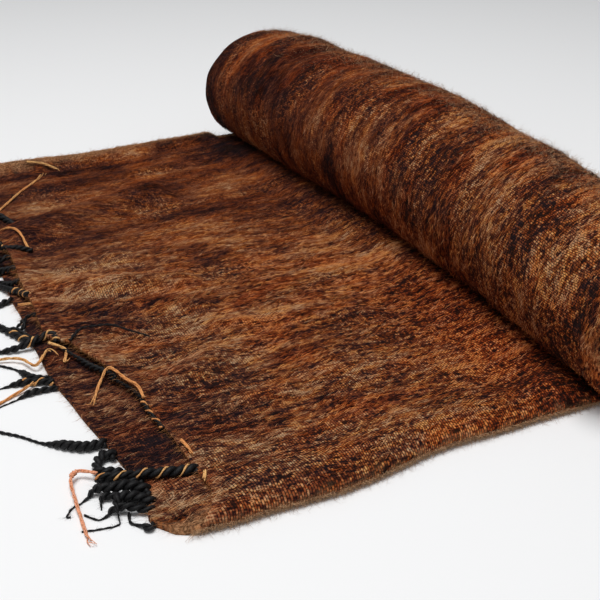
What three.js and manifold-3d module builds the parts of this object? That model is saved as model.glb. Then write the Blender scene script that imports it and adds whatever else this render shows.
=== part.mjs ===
// A brushed wool blanket, folded once along its length and rolled up from its far end.
// The fringed end still lies flat in front of the roll.
// Millimetres, +Z up. X runs along the cloth from the fringe to the roll, Y along the roll.

import * as THREE from 'three';
import Module from 'manifold-3d';

const wasm = await Module();
wasm.setup();

// The cloth: its folded width, one layer and the air between the two layers.
const FOLDED_WIDTH = 600;
const LAYER = 2.9;
const LAYER_GAP = 0.6;
const FOLD_RADIUS = (LAYER + LAYER_GAP) / 2;
const UPPER_UNDERSIDE = LAYER + LAYER_GAP;

// The mesh of the flat stretch: points across one layer, round the fold and along the cloth.
const ACROSS_POINTS = 36;
const FOLD_POINTS = 7;
const ALONG_POINTS = 23;

// The fringed edge of each layer, from the fold at y 0 to the selvedges at y 600.
const LOWER_EDGE = [
  { y: 0, x: 26 },
  { y: 8, x: 10 },
  { y: 19, x: 4 },
  { y: 38, x: 10 },
  { y: 58, x: 15 },
  { y: 80, x: 10 },
  { y: 150, x: 6 },
  { y: 190, x: 4 },
  { y: 250, x: 7 },
  { y: 308, x: 13 },
  { y: 400, x: 21 },
  { y: 600, x: 34 },
];
const UPPER_EDGE = [
  { y: 0, x: 26 },
  { y: 10, x: 36 },
  { y: 30, x: 43 },
  { y: 100, x: 44 },
  { y: 145, x: 44 },
  { y: 175, x: 38 },
  { y: 221, x: 29 },
  { y: 245, x: 16 },
  { y: 308, x: 22 },
  { y: 400, x: 32 },
  { y: 600, x: 46 },
];

// The line of the front fold and of the far selvedges along the cloth.
const FRONT_LINE = [
  { x: 0, y: 9 },
  { x: 22, y: 5 },
  { x: 50, y: 1 },
  { x: 115, y: -5 },
  { x: 190, y: 3 },
  { x: 240, y: 0 },
  { x: 300, y: -5 },
  { x: 380, y: 0 },
];
const FAR_LINE = [
  { x: 0, y: 604 },
  { x: 80, y: 606 },
  { x: 180, y: 596 },
  { x: 250, y: 599 },
  { x: 380, y: 604 },
];

// The folds that stand up in the flat stretch, each from one end of its crest to the other.
// The lower layer follows the upper one by the share given.
const RIDGES = [
  { x0: 45, y0: 328, x1: 105, y1: 284, half: 20, rise: 8, share: 0.8 },
  { x0: 50, y0: 281, x1: 110, y1: 244, half: 16, rise: 5, share: 0.8 },
  { x0: 75, y0: 446, x1: 185, y1: 464, half: 26, rise: 8, share: 0.8 },
  { x0: 60, y0: 392, x1: 130, y1: 384, half: 20, rise: 4, share: 0.8 },
  { x0: 62, y0: 103, x1: 130, y1: 104, half: 15, rise: 5, share: 0.5 },
  { x0: 62, y0: 140, x1: 110, y1: 168, half: 16, rise: 4, share: 0.5 },
  { x0: 70, y0: 26, x1: 290, y1: 20, half: 24, rise: 4, share: 0.2 },
  { x0: 60, y0: 590, x1: 300, y1: 592, half: 20, rise: 6, share: 0.3 },
];
const EDGE_FADE = 26;
const FOLD_FADE = 14;
const ROLL_FADE = 45;

// The roll along its axis: centre line and outside radius.
const ROLL = [
  { y: -20, x: 333, radius: 59 },
  { y: 30, x: 337, radius: 60 },
  { y: 90, x: 346, radius: 61 },
  { y: 160, x: 356, radius: 62.5 },
  { y: 300, x: 365, radius: 65 },
  { y: 440, x: 364, radius: 65.5 },
  { y: 500, x: 364, radius: 66 },
  { y: 550, x: 363, radius: 63.5 },
  { y: 595, x: 361, radius: 60.5 },
];
const TURN_PITCH = 6.3;
const TURNS = 9;
const TURN_POINTS = 36;
const FLAT_SPOT = 0.5;
const END_ROUND = 3;
const GROOVE_DEPTH = 4;
const UNDER_ROLL = 6;

// The ends of the turns, counted from the floor line of the outer turn: it bulges at the near end,
// draws in where it runs down into the crease, and the turns inside stand a little back.
const NEAR_END = [
  { turn: 0, y: 0 },
  { turn: 0.3, y: -12 },
  { turn: 0.6, y: -20 },
  { turn: 0.75, y: -18 },
  { turn: 0.85, y: 4 },
  { turn: 0.92, y: 22 },
  { turn: 1, y: 28 },
  { turn: 1.3, y: 4 },
  { turn: 1.7, y: -6 },
  { turn: 2.4, y: 2 },
  { turn: 3.6, y: -4 },
  { turn: 5, y: 3 },
  { turn: 9, y: 0 },
];
const FAR_END = [
  { turn: 0, y: 600 },
  { turn: 1, y: 591 },
  { turn: 1.8, y: 586 },
  { turn: 3, y: 590 },
  { turn: 5, y: 585 },
  { turn: 9, y: 588 },
];

// Soft swells and dents of the roll's outer turn.
const SWELLS = [
  { y: 470, turn: 0.45, length: 50, breadth: 0.14, rise: -2 },
  { y: 330, turn: 0.62, length: 70, breadth: 0.12, rise: 1.5 },
  { y: 90, turn: 0.68, length: 55, breadth: 0.12, rise: 2 },
];

// The fringe: its backing strip and its twisted strands.
const SEAM = 0.3;
const STRIP_WIDTH = 5;
const STRIP_HEIGHT = 2.4;
const STRIP_FROM = 10;
const STRAND_ROOT = 2.3;
const STRAND_TIP = 1.5;
const STRAND_STEPS = 6;
const LOWER_ROOT_Z = STRAND_ROOT;
const UPPER_ROOT_Z = LAYER + 0.4 + STRAND_ROOT;

// Strands of the lower layer, from the root on the edge over a bend to the tip on the floor.
const LOWER_STRANDS = [
  { y: 23, bendX: -4, bendY: 26, tipX: -16, tipY: 31 },
  { y: 37, bendX: -10, bendY: 38, tipX: -34, tipY: 41 },
  { y: 46, bendX: -6, bendY: 48, tipX: -28, tipY: 52 },
  { y: 55, bendX: -2, bendY: 57, tipX: -18, tipY: 62 },
  { y: 82, bendX: 1, bendY: 89, tipX: -2, tipY: 99 },
  { y: 111, bendX: -16, bendY: 122, tipX: -50, tipY: 163 },
  { y: 189, bendX: -16, bendY: 190, tipX: -46, tipY: 182 },
  { y: 197, bendX: -18, bendY: 203, tipX: -48, tipY: 208 },
  { y: 205, bendX: -10, bendY: 215, tipX: -30, tipY: 240 },
  { y: 252, bendX: -8, bendY: 257, tipX: -44, tipY: 271 },
  { y: 262, bendX: 0, bendY: 269, tipX: -36, tipY: 292 },
  { y: 296, bendX: 0, bendY: 301, tipX: -42, tipY: 316 },
  { y: 328, bendX: 0, bendY: 331, tipX: -42, tipY: 342 },
  { y: 354, bendX: 0, bendY: 357, tipX: -42, tipY: 366 },
];

// Strands of the upper layer, which lie over the lower one before they come down.
const UPPER_STRANDS = [
  { y: 54, bendX: 13, bendY: 65, tipX: -9, tipY: 76, tipZ: UPPER_ROOT_Z },
  { y: 103, bendX: 30, bendY: 128, tipX: 26, tipY: 166, tipZ: UPPER_ROOT_Z },
  { y: 234, bendX: -4, bendY: 237, tipX: -38, tipY: 254, tipZ: STRAND_TIP },
  { y: 280, bendX: -2, bendY: 285, tipX: -38, tipY: 304, tipZ: STRAND_TIP },
  { y: 312, bendX: -2, bendY: 315, tipX: -42, tipY: 329, tipZ: STRAND_TIP },
  { y: 341, bendX: 0, bendY: 344, tipX: -42, tipY: 354, tipZ: STRAND_TIP },
  { y: 367, bendX: 2, bendY: 370, tipX: -42, tipY: 378, tipZ: STRAND_TIP },
];

// The even stretch of the fringe behind those, lower and upper strands by turns.
const EVEN_FROM = 380;
const EVEN_PITCH = 24;
const EVEN_COUNT = 9;
const EVEN_REACH = 48;
const EVEN_DRIFT = 9;

const WOOL = new THREE.MeshStandardMaterial({ color: 0x5a3520, roughness: 0.95 });
const YARN_LOWER = new THREE.MeshStandardMaterial({ color: 0x17161a, roughness: 0.9 });
const YARN_UPPER = new THREE.MeshStandardMaterial({ color: 0x241c1a, roughness: 0.9 });

// A value of a table at a place along it, eased from row to row.
function lookUp(table, along, at, value) {
  const first = table[0];
  if (at <= first[along]) {
    return first[value];
  }
  for (let i = 1; i < table.length; i += 1) {
    const a = table[i - 1];
    const b = table[i];
    if (at <= b[along]) {
      const t = (at - a[along]) / (b[along] - a[along]);
      return a[value] + (b[value] - a[value]) * t * t * (3 - 2 * t);
    }
  }
  return table[table.length - 1][value];
}

const ease = (t) => {
  const c = Math.min(1, Math.max(0, t));
  return c * c * (3 - 2 * c);
};
const bell = (t) => (Math.abs(t) < 1 ? (1 - t * t) ** 2 : 0);

// How far a ridge lifts the cloth at a point: full along the crest, falling off round it.
function ridgeLift(ridge, x, y) {
  const dx = ridge.x1 - ridge.x0;
  const dy = ridge.y1 - ridge.y0;
  const length = Math.hypot(dx, dy);
  const t = ((x - ridge.x0) * dx + (y - ridge.y0) * dy) / (length * length);
  const beyond = Math.max(0, -t, t - 1) * length;
  const off = Math.abs((x - ridge.x0) * dy - (y - ridge.y0) * dx) / length;
  return ridge.rise * bell(Math.hypot(off, beyond) / ridge.half);
}

function lift(x, y, edgeX, upper) {
  const foot = lookUp(ROLL, 'y', y, 'x');
  const fade =
    ease((x - edgeX) / EDGE_FADE) * ease(y / FOLD_FADE) * ease((foot - 20 - x) / ROLL_FADE);
  let sum = 0;
  for (const ridge of RIDGES) {
    sum += ridgeLift(ridge, x, y) * (upper ? 1 : ridge.share);
  }
  return sum * fade;
}

// Places across one layer, closer together near the fold.
const across = [];
for (let k = 0; k < ACROSS_POINTS; k += 1) {
  const first = FOLD_RADIUS + LAYER / 2;
  across.push(first + (FOLDED_WIDTH - first) * (k / (ACROSS_POINTS - 1)) ** 1.25);
}

// The folded section as one walk: lower layer from its selvedge to the fold, round it, upper layer back.
const walk = [];
for (let k = ACROSS_POINTS - 1; k >= 0; k -= 1) {
  walk.push({ y: across[k], z: LAYER / 2, outY: 0, outZ: -1, upper: false });
}
for (let k = 1; k <= FOLD_POINTS; k += 1) {
  const angle = (Math.PI * k) / (FOLD_POINTS + 1);
  walk.push({
    y: across[0] - FOLD_RADIUS * Math.sin(angle),
    z: LAYER / 2 + FOLD_RADIUS * (1 - Math.cos(angle)),
    outY: -Math.sin(angle),
    outZ: -Math.cos(angle),
    upper: angle > Math.PI / 2,
  });
}
for (let k = 0; k < ACROSS_POINTS; k += 1) {
  walk.push({ y: across[k], z: UPPER_UNDERSIDE + LAYER / 2, outY: 0, outZ: 1, upper: true });
}

// A point of the flat stretch: u from the fringed edge to the roll, side +1 outside, -1 between the layers.
function flatPoint(place, u, side) {
  const edgeX = lookUp(place.upper ? UPPER_EDGE : LOWER_EDGE, 'y', place.y, 'x');
  const endX = lookUp(ROLL, 'y', place.y, 'x') + UNDER_ROLL;
  const x = edgeX + (endX - edgeX) * u;
  const front = lookUp(FRONT_LINE, 'x', x, 'y');
  const far = lookUp(FAR_LINE, 'x', x, 'y');
  const y = front + (place.y + (side * place.outY * LAYER) / 2) * ((far - front) / FOLDED_WIDTH);
  const z = place.z + (side * place.outZ * LAYER) / 2 + lift(x, place.y, edgeX, place.upper);
  return [x, y, Math.max(0, z)];
}

function manifoldOf(points, triangles) {
  const mesh = new wasm.Mesh({
    numProp: 3,
    vertProperties: new Float32Array(points.flat()),
    triVerts: new Uint32Array(triangles.flat()),
  });
  return new wasm.Manifold(mesh);
}

const quad = (a, b, c, d) => [
  [a, b, c],
  [a, c, d],
];

// The flat stretch as a closed thick sheet: outside, inside and a rim all round.
function flatStretch() {
  const points = [];
  const triangles = [];
  const count = walk.length;
  const index = (i, j, inner) => (i * count + j) * 2 + (inner ? 1 : 0);
  for (let i = 0; i < ALONG_POINTS; i += 1) {
    for (const place of walk) {
      points.push(flatPoint(place, i / (ALONG_POINTS - 1), 1));
      points.push(flatPoint(place, i / (ALONG_POINTS - 1), -1));
    }
  }
  const last = ALONG_POINTS - 1;
  for (let j = 0; j < count - 1; j += 1) {
    for (let i = 0; i < last; i += 1) {
      const a = [index(i, j, false), index(i + 1, j, false)];
      const b = [index(i, j + 1, false), index(i + 1, j + 1, false)];
      triangles.push(...quad(a[0], a[1], b[1], b[0]));
      const c = [index(i, j, true), index(i + 1, j, true)];
      const d = [index(i, j + 1, true), index(i + 1, j + 1, true)];
      triangles.push(...quad(c[0], d[0], d[1], c[1]));
    }
    triangles.push(...quad(index(0, j, true), index(0, j, false), index(0, j + 1, false), index(0, j + 1, true)));
    triangles.push(
      ...quad(index(last, j, false), index(last, j, true), index(last, j + 1, true), index(last, j + 1, false)),
    );
  }
  for (let i = 0; i < last; i += 1) {
    triangles.push(...quad(index(i, 0, false), index(i, 0, true), index(i + 1, 0, true), index(i + 1, 0, false)));
    triangles.push(
      ...quad(
        index(i, count - 1, true),
        index(i, count - 1, false),
        index(i + 1, count - 1, false),
        index(i + 1, count - 1, true),
      ),
    );
  }
  return manifoldOf(points, triangles);
}

// A point of the wound cloth: turn sets angle and radius, t runs from the near end to the far end.
function woundPoint(turn, t, inset, recess) {
  const near = lookUp(NEAR_END, 'turn', turn, 'y') + recess;
  const far = lookUp(FAR_END, 'turn', turn, 'y') - recess;
  const y = near + (far - near) * t;
  const radius = lookUp(ROLL, 'y', y, 'radius');
  const angle = 2 * Math.PI * turn;
  let r = Math.max(0, radius - TURN_PITCH * turn - inset);
  for (const swell of SWELLS) {
    const swing = turn - swell.turn;
    r += swell.rise * bell((y - swell.y) / swell.length) * bell(swing / swell.breadth);
  }
  const x = lookUp(ROLL, 'y', y, 'x') + r * Math.sin(angle);
  const z = radius - FLAT_SPOT - r * Math.cos(angle);
  return [x, y, Math.max(0, z)];
}

// The roll as one closed solid: its outer turn, and the edges of the inner turns as grooves in both ends.
function woundRoll() {
  const points = [];
  const triangles = [];
  const stations = [0, 0.008, 0.03];
  for (let k = 1; k < 18; k += 1) {
    stations.push(0.03 + (0.94 * k) / 18);
  }
  stations.push(0.97, 0.992, 1);
  const lastStation = stations.length - 1;
  const ring = TURN_POINTS + 2;
  stations.forEach((t, i) => {
    const inset = i === 0 || i === lastStation ? END_ROUND : 0;
    const recess = i === 0 || i === lastStation ? GROOVE_DEPTH : 0;
    for (let k = 0; k <= TURN_POINTS; k += 1) {
      points.push(woundPoint(k / TURN_POINTS, t, inset, 0));
    }
    const a = woundPoint(0, t, inset, recess);
    const b = woundPoint(1, t, inset, recess);
    points.push([(a[0] + b[0]) / 2, (a[1] + b[1]) / 2, (a[2] + b[2]) / 2]);
  });
  for (let i = 0; i < lastStation; i += 1) {
    for (let k = 0; k < ring; k += 1) {
      const next = (k + 1) % ring;
      triangles.push(...quad(i * ring + k, (i + 1) * ring + k, (i + 1) * ring + next, i * ring + next));
    }
  }
  for (const [station, t, flip] of [
    [0, 0, false],
    [lastStation, 1, true],
  ]) {
    const crest = [];
    const groove = [];
    for (let n = 0; n <= TURNS * TURN_POINTS; n += 1) {
      const turn = n / TURN_POINTS;
      if (n <= TURN_POINTS) {
        crest.push(station * ring + n);
      } else {
        crest.push(points.push(woundPoint(turn, t, END_ROUND, 0)) - 1);
      }
      if (n === 0) {
        groove.push(station * ring + TURN_POINTS + 1);
      } else {
        groove.push(points.push(woundPoint(turn, t, END_ROUND + TURN_PITCH / 2, GROOVE_DEPTH)) - 1);
      }
    }
    const faces = [];
    const lastStart = (TURNS - 1) * TURN_POINTS;
    for (let n = 0; n < lastStart; n += 1) {
      faces.push(...quad(crest[n], crest[n + 1], groove[n + 1], groove[n]));
      faces.push(...quad(groove[n], groove[n + 1], crest[n + 1 + TURN_POINTS], crest[n + TURN_POINTS]));
    }
    const core = points.push(woundPoint(TURNS, t, 100, GROOVE_DEPTH)) - 1;
    faces.push([crest[lastStart], core, groove[lastStart]]);
    faces.push([groove[lastStart], core, crest[lastStart + TURN_POINTS]]);
    for (let n = lastStart; n < lastStart + TURN_POINTS; n += 1) {
      faces.push([crest[n], crest[n + 1], core]);
    }
    for (const face of faces) {
      triangles.push(flip ? [face[0], face[2], face[1]] : face);
    }
  }
  return manifoldOf(points, triangles);
}

// The fringed edge at a place across the cloth, and the place whose edge lies at a given y.
function edgePoint(edge, place) {
  const x = lookUp(edge, 'y', place, 'x');
  const front = lookUp(FRONT_LINE, 'x', x, 'y');
  const far = lookUp(FAR_LINE, 'x', x, 'y');
  return { x, y: front + place * ((far - front) / FOLDED_WIDTH) };
}

function placeAt(edge, y) {
  const off = edgePoint(edge, y).y - y;
  return y - off;
}

// One strand: a square-sided cord along its path, thinner towards the tip.
function strand(root, bend, tip) {
  const path = new THREE.CatmullRomCurve3([root, bend, tip]);
  const points = [];
  const triangles = [];
  for (let i = 0; i <= STRAND_STEPS; i += 1) {
    const t = i / STRAND_STEPS;
    const half = STRAND_ROOT + (STRAND_TIP - STRAND_ROOT) * t;
    const at = path.getPoint(t);
    const ahead = path.getTangent(t);
    const side = new THREE.Vector3(-ahead.y, ahead.x, 0).normalize().multiplyScalar(half);
    points.push([at.x + side.x, at.y + side.y, at.z - half]);
    points.push([at.x - side.x, at.y - side.y, at.z - half]);
    points.push([at.x - side.x, at.y - side.y, at.z + half]);
    points.push([at.x + side.x, at.y + side.y, at.z + half]);
  }
  for (let i = 0; i < STRAND_STEPS; i += 1) {
    for (let k = 0; k < 4; k += 1) {
      const next = (k + 1) % 4;
      triangles.push(...quad(i * 4 + k, i * 4 + 4 + k, i * 4 + 4 + next, i * 4 + next));
    }
  }
  const end = STRAND_STEPS * 4;
  triangles.push(...quad(0, 1, 2, 3));
  triangles.push(...quad(end + 3, end + 2, end + 1, end));
  return manifoldOf(points, triangles);
}

// The narrow strip that holds the roots, along the cloth's edge and a seam's breadth off it.
function backingStrip(edge, bottom) {
  const points = [];
  const triangles = [];
  const rows = across.filter((y) => y >= STRIP_FROM);
  for (const place of rows) {
    const at = edgePoint(edge, place);
    const x = at.x - SEAM;
    points.push([x - STRIP_WIDTH, at.y, bottom]);
    points.push([x, at.y, bottom]);
    points.push([x, at.y, bottom + STRIP_HEIGHT]);
    points.push([x - STRIP_WIDTH, at.y, bottom + STRIP_HEIGHT]);
  }
  const end = (rows.length - 1) * 4;
  for (let i = 0; i < rows.length - 1; i += 1) {
    for (let k = 0; k < 4; k += 1) {
      const next = (k + 1) % 4;
      triangles.push(...quad(i * 4 + k, i * 4 + 4 + k, i * 4 + 4 + next, i * 4 + next));
    }
  }
  triangles.push(...quad(0, 1, 2, 3));
  triangles.push(...quad(end + 3, end + 2, end + 1, end));
  return manifoldOf(points, triangles);
}

function fringe(edge, bottom, rows, rootZ, bendZ) {
  const pieces = [backingStrip(edge, bottom)];
  for (const row of rows) {
    const rootX = edgePoint(edge, placeAt(edge, row.y)).x - SEAM - STRIP_WIDTH / 2 - 0.8;
    pieces.push(
      strand(
        new THREE.Vector3(rootX, row.y, rootZ),
        new THREE.Vector3(row.bendX, row.bendY, bendZ),
        new THREE.Vector3(row.tipX, row.tipY, row.tipZ),
      ),
    );
  }
  return wasm.Manifold.union(pieces);
}

function evenRows(from, edge) {
  const rows = [];
  for (let k = 0; k < EVEN_COUNT; k += 1) {
    const y = from + EVEN_PITCH * k;
    const bendX = lookUp(edge, 'y', y, 'x') - 20;
    rows.push({ y, bendX, bendY: y + 2, tipX: bendX - EVEN_REACH, tipY: y + EVEN_DRIFT, tipZ: STRAND_TIP });
  }
  return rows;
}

function meshOf(name, solid, material) {
  const data = solid.getMesh();
  const geometry = new THREE.BufferGeometry();
  const positions = new Float32Array(data.numVert * 3);
  for (let i = 0; i < data.numVert; i += 1) {
    positions.set(data.vertProperties.subarray(i * data.numProp, i * data.numProp + 3), i * 3);
  }
  geometry.setAttribute('position', new THREE.BufferAttribute(positions, 3));
  geometry.setIndex(new THREE.BufferAttribute(new Uint32Array(data.triVerts), 1));
  geometry.computeVertexNormals();
  const mesh = new THREE.Mesh(geometry, material);
  mesh.name = name;
  return mesh;
}

const lowerRows = LOWER_STRANDS.map((row) => ({ ...row, tipZ: STRAND_TIP }));
lowerRows.push(...evenRows(EVEN_FROM, LOWER_EDGE));
const upperRows = [...UPPER_STRANDS, ...evenRows(EVEN_FROM + EVEN_PITCH / 2, LOWER_EDGE)];

const group = new THREE.Group();
group.name = 'wool_blanket';
group.add(meshOf('blanket', flatStretch().add(woundRoll()), WOOL));
group.add(
  meshOf('fringe_lower', fringe(LOWER_EDGE, 0, lowerRows, LOWER_ROOT_Z, LOWER_ROOT_Z - 0.3), YARN_LOWER),
);
group.add(
  meshOf('fringe_upper', fringe(UPPER_EDGE, UPPER_UNDERSIDE, upperRows, UPPER_ROOT_Z, UPPER_ROOT_Z), YARN_UPPER),
);

// The whole blanket stands on z 0, centred over the origin.
const box = new THREE.Box3().setFromObject(group);
const middle = box.getCenter(new THREE.Vector3());
for (const mesh of group.children) {
  mesh.geometry.translate(-middle.x, -middle.y, -box.min.z);
}

export default group;
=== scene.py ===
import math
from collections import namedtuple

import bpy
import numpy as np
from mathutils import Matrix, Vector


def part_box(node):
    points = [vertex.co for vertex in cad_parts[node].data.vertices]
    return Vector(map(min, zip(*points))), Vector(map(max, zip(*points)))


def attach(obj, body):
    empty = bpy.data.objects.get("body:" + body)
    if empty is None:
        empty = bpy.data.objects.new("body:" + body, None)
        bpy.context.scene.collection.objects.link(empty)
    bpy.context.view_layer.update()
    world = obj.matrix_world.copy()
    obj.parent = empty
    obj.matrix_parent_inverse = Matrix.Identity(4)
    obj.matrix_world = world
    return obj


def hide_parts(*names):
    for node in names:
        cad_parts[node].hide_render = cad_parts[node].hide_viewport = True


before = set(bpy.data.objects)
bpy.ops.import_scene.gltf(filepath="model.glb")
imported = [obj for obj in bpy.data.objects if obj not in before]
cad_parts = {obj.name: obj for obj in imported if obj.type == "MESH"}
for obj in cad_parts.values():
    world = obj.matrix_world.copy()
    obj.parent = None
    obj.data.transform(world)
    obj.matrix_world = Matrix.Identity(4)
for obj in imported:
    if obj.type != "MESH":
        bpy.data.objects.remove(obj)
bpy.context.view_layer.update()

# The blanket is one length of loose-woven wool, brushed until its weave half disappears under the nap.
# It is doubled along its length, with a soft fold at the front and both selvedges at the back,
# and rolled up like a carpet from its far end, so only the fringed end still lies flat.

MM = 0.001
FOLDED_WIDTH = 600.0
LAYER = 2.9
LAYER_GAP = 0.5
FOLD_RADIUS = (LAYER + LAYER_GAP) / 2
FOLD_DEPTH = 4.5
FOLD_PLUMP = 0.7
DOUBLED = 2 * LAYER + LAYER_GAP
TURN_PITCH = 6.3
TURNS = 8.9
ROLL_SAG = 3.5
FOOT_RISE = 6.5
EDGE_BAND = 26.0
FLAT_RUN = 355
ROLL_START = 380
ROLL_RADIUS = 64.5

LOWER_EDGE = {
    "y": [0, 8, 19, 38, 58, 80, 150, 190, 250, 308, 400, 600],
    "x": [26, 10, 4, 10, 15, 10, 6, 4, 7, 13, 21, 34],
}
UPPER_EDGE = {
    "y": [0, 10, 30, 100, 145, 175, 221, 245, 308, 400, 600],
    "x": [26, 36, 43, 44, 44, 38, 29, 16, 22, 32, 46],
}
UPPER_CURL = {
    "y": [0, 40, 90, 150, 200, 240, 330, 420, 600],
    "rise": [0, 1, 2, 5, 5, 3, 6, 5, 2],
}
FRONT_LINE = {"x": [0, 22, 50, 115, 190, 240, 300, 380], "y": [9, 5, 2, -2, 5, 2, -1, 8]}
FAR_LINE = {"x": [0, 80, 180, 250, 380], "y": [604, 606, 596, 599, 604]}
ROLL = {
    "y": [-20, 30, 90, 160, 300, 440, 500, 550, 595],
    "x": [333, 337, 346, 356, 365, 364, 364, 363, 361],
    "radius": [59, 60, 61, 62.5, 65, 65.5, 66, 63.5, 60.5],
}
NEAR_END = {
    "turn": [0, 0.3, 0.6, 0.75, 0.85, 0.92, 1, 1.3, 1.7, 2.4, 3.6, 5, 9],
    "y": [-3, -12, -20, -18, -15, -9, -2, 2, -4, 2, -4, 3, 0],
}
FAR_END = {
    "turn": [0, 0.3, 0.5, 0.62, 0.72, 0.82, 0.92, 1, 1.8, 3, 5, 9],
    "y": [604, 592, 582, 590, 600, 607, 608, 602, 586, 590, 585, 588],
}
RIDGES = {
    "x0": [24, 20, 48, 62, 62, 70, 55, 190, 110, 130],
    "y0": [326, 286, 428, 103, 140, 26, 592, 531, 352, 206],
    "x1": [135, 130, 185, 130, 110, 290, 300, 300, 210, 230],
    "y1": [282, 242, 470, 104, 168, 20, 593, 541, 330, 176],
    "half": [22, 17, 28, 15, 16, 24, 17, 14, 20, 18],
    "rise": [8, 6, 12, 5, 5, 4, 9, 5, 3, 3],
    "share": [0.6, 0.6, 0.7, 0.5, 0.5, 0.2, 0.2, 0.2, 0.5, 0.5],
}
SWELLS = {
    "y": [470, 330, 90],
    "turn": [0.45, 0.62, 0.68],
    "length": [50, 70, 55],
    "breadth": [0.14, 0.12, 0.12],
    "rise": [-2, 1.5, 2],
}

CLOTH_ORIGIN = np.array(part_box("blanket")[0]) / MM - [min(LOWER_EDGE["x"]), min(NEAR_END["y"]), 0.0]


def ease(t):
    t = np.clip(t, 0.0, 1.0)
    return t * t * (3 - 2 * t)


def bell(t):
    return np.where(np.abs(t) < 1, (1 - t * t) ** 2, 0.0)


def eased(table, along, at, value):
    stops = np.array(table[along], float)
    values = np.array(table[value], float)
    i = np.clip(np.searchsorted(stops, at) - 1, 0, len(stops) - 2)
    return values[i] + (values[i + 1] - values[i]) * ease((at - stops[i]) / (stops[i + 1] - stops[i]))


def soft_noise(seed, a, b):
    """Smooth noise, about 0 to 1, from a lattice of random slopes."""
    cells = 128
    slopes = np.random.default_rng(seed).uniform(0, 2 * np.pi, (cells, cells))
    i = np.floor(a).astype(int)
    j = np.floor(b).astype(int)
    p = a - i
    q = b - j

    def corner(di, dj):
        slope = slopes[(i + di) % cells, (j + dj) % cells]
        return np.cos(slope) * (p - di) + np.sin(slope) * (q - dj)

    low = corner(0, 0) + (corner(1, 0) - corner(0, 0)) * ease(p)
    high = corner(0, 1) + (corner(1, 1) - corner(0, 1)) * ease(p)
    return 0.5 + 0.8 * (low + (high - low) * ease(q))


def end_x(y, upper):
    """Where the fringed end of either layer lies, y back from the fold."""
    return np.where(upper, eased(UPPER_EDGE, "y", y, "x"), eased(LOWER_EDGE, "y", y, "x"))


def roll_x(y):
    return eased(ROLL, "y", y, "x")


def ridge_lift(x, y, upper):
    lift = np.zeros(np.broadcast(x, y).shape)
    for x0, y0, x1, y1, half, rise, share in zip(*RIDGES.values()):
        length = math.hypot(x1 - x0, y1 - y0)
        t = ((x - x0) * (x1 - x0) + (y - y0) * (y1 - y0)) / length**2
        beyond = np.maximum(0, np.maximum(-t, t - 1)) * length
        off = np.abs((x - x0) * (y1 - y0) - (y - y0) * (x1 - x0)) / length
        lift += rise * bell(np.hypot(off, beyond) / half) * np.where(upper, 1.0, share)
    return lift


def flat_place(x, y, h, upper):
    """A point of the flat stretch, h above the underside of the doubled cloth."""
    edge_x = end_x(y, upper)
    foot_fade = ease((roll_x(y) - 20 - x) / 45)
    inland = ease((x - edge_x) / EDGE_BAND)
    inland = np.where(upper, 0.4 + 0.6 * inland, inland)
    ripple = 2.2 * soft_noise(3, x / 70, y / 34)
    crinkle = 1.2 * soft_noise(4, x / 30, y / 11)
    lift = ridge_lift(x, y, upper) + ripple + crinkle
    curl = np.where(upper, eased(UPPER_CURL, "y", y, "rise"), 0.0)
    curl = curl * ease((edge_x + EDGE_BAND - x) / EDGE_BAND)
    foot = FOOT_RISE * bell((x - roll_x(y) + 44) / 38) * np.where(upper, 1.0, 0.2)
    foot = foot * ease((y + 10) / 60) * ease((610 - y) / 70)
    plump = 1 + FOLD_PLUMP * bell(y / 45) * foot_fade
    front = eased(FRONT_LINE, "x", x, "y")
    far = eased(FAR_LINE, "x", x, "y")
    across = front + y * (far - front) / FOLDED_WIDTH
    height = h * plump + curl + foot + inland * ease(y / 14) * foot_fade * lift
    return np.stack([x + 0 * y, across, np.maximum(0, height)], -1)


def wound_place(turn, y, h):
    """A point of the roll, h inside the face of its turn. The turns count inwards from the floor line."""
    near = eased(NEAR_END, "turn", turn, "y")
    far = eased(FAR_END, "turn", turn, "y")
    across = near + (far - near) * y / FOLDED_WIDTH
    axis_z = eased(ROLL, "y", across, "radius")
    radius = axis_z - TURN_PITCH * turn - h
    for swell_y, swell_turn, length, breadth, rise in zip(*SWELLS.values()):
        radius = radius + rise * bell((across - swell_y) / length) * bell((turn - swell_turn) / breadth)
    radius = radius + ROLL_SAG * bell((turn % 1 - 0.885) / 0.085) * np.clip(1 - turn / 6, 0, 1)
    uneven = soft_noise(5, turn * 3, y / 16) + 0.6 * soft_noise(6, turn * 9, y / 40) - 0.8
    radius = radius + 1.6 * uneven * ease(turn * 6) * ease((1.1 - turn) * 5)
    x = roll_x(across) + radius * np.sin(2 * np.pi * turn)
    z = axis_z - radius * np.cos(2 * np.pi * turn)
    return np.stack([x, across, np.maximum(0, z)], -1)


def run_length(turn):
    """How far along the cloth a turn of the roll lies."""
    return FLAT_RUN + 2 * np.pi * (ROLL_RADIUS * turn - TURN_PITCH * turn**2 / 2)


def streak_place(s, v):
    """Where a spot of the cloth, s along and v across it laid flat, lies across its wandering streaks."""
    return v + 14 * soft_noise(21, s / 150, v / 110) + 5 * soft_noise(22, s / 42, v / 48)


def still_flat(s, over):
    """1 on the flat stretch, down to 0 just before the roll."""
    return ease((ROLL_START - s) / over)


def by_the_roll(s, v):
    """How near a spot is to the crease in front of the roll, where the wool is redder and deeper."""
    flat_side = ease((s - 180) / 110) * still_flat(s, 10) * ease((900 - v) / 150)
    rolled_side = ease((s - 600) / 90)
    return np.maximum(flat_side, 0.7 * rolled_side)


def in_spot(s, v, spot_s, spot_v, length, breadth):
    """1 in the middle of an oval spot of the cloth, down to 0 at its rim."""
    return bell(np.hypot((s - spot_s) / length, (v - spot_v) / breadth) / 1.3)


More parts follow.
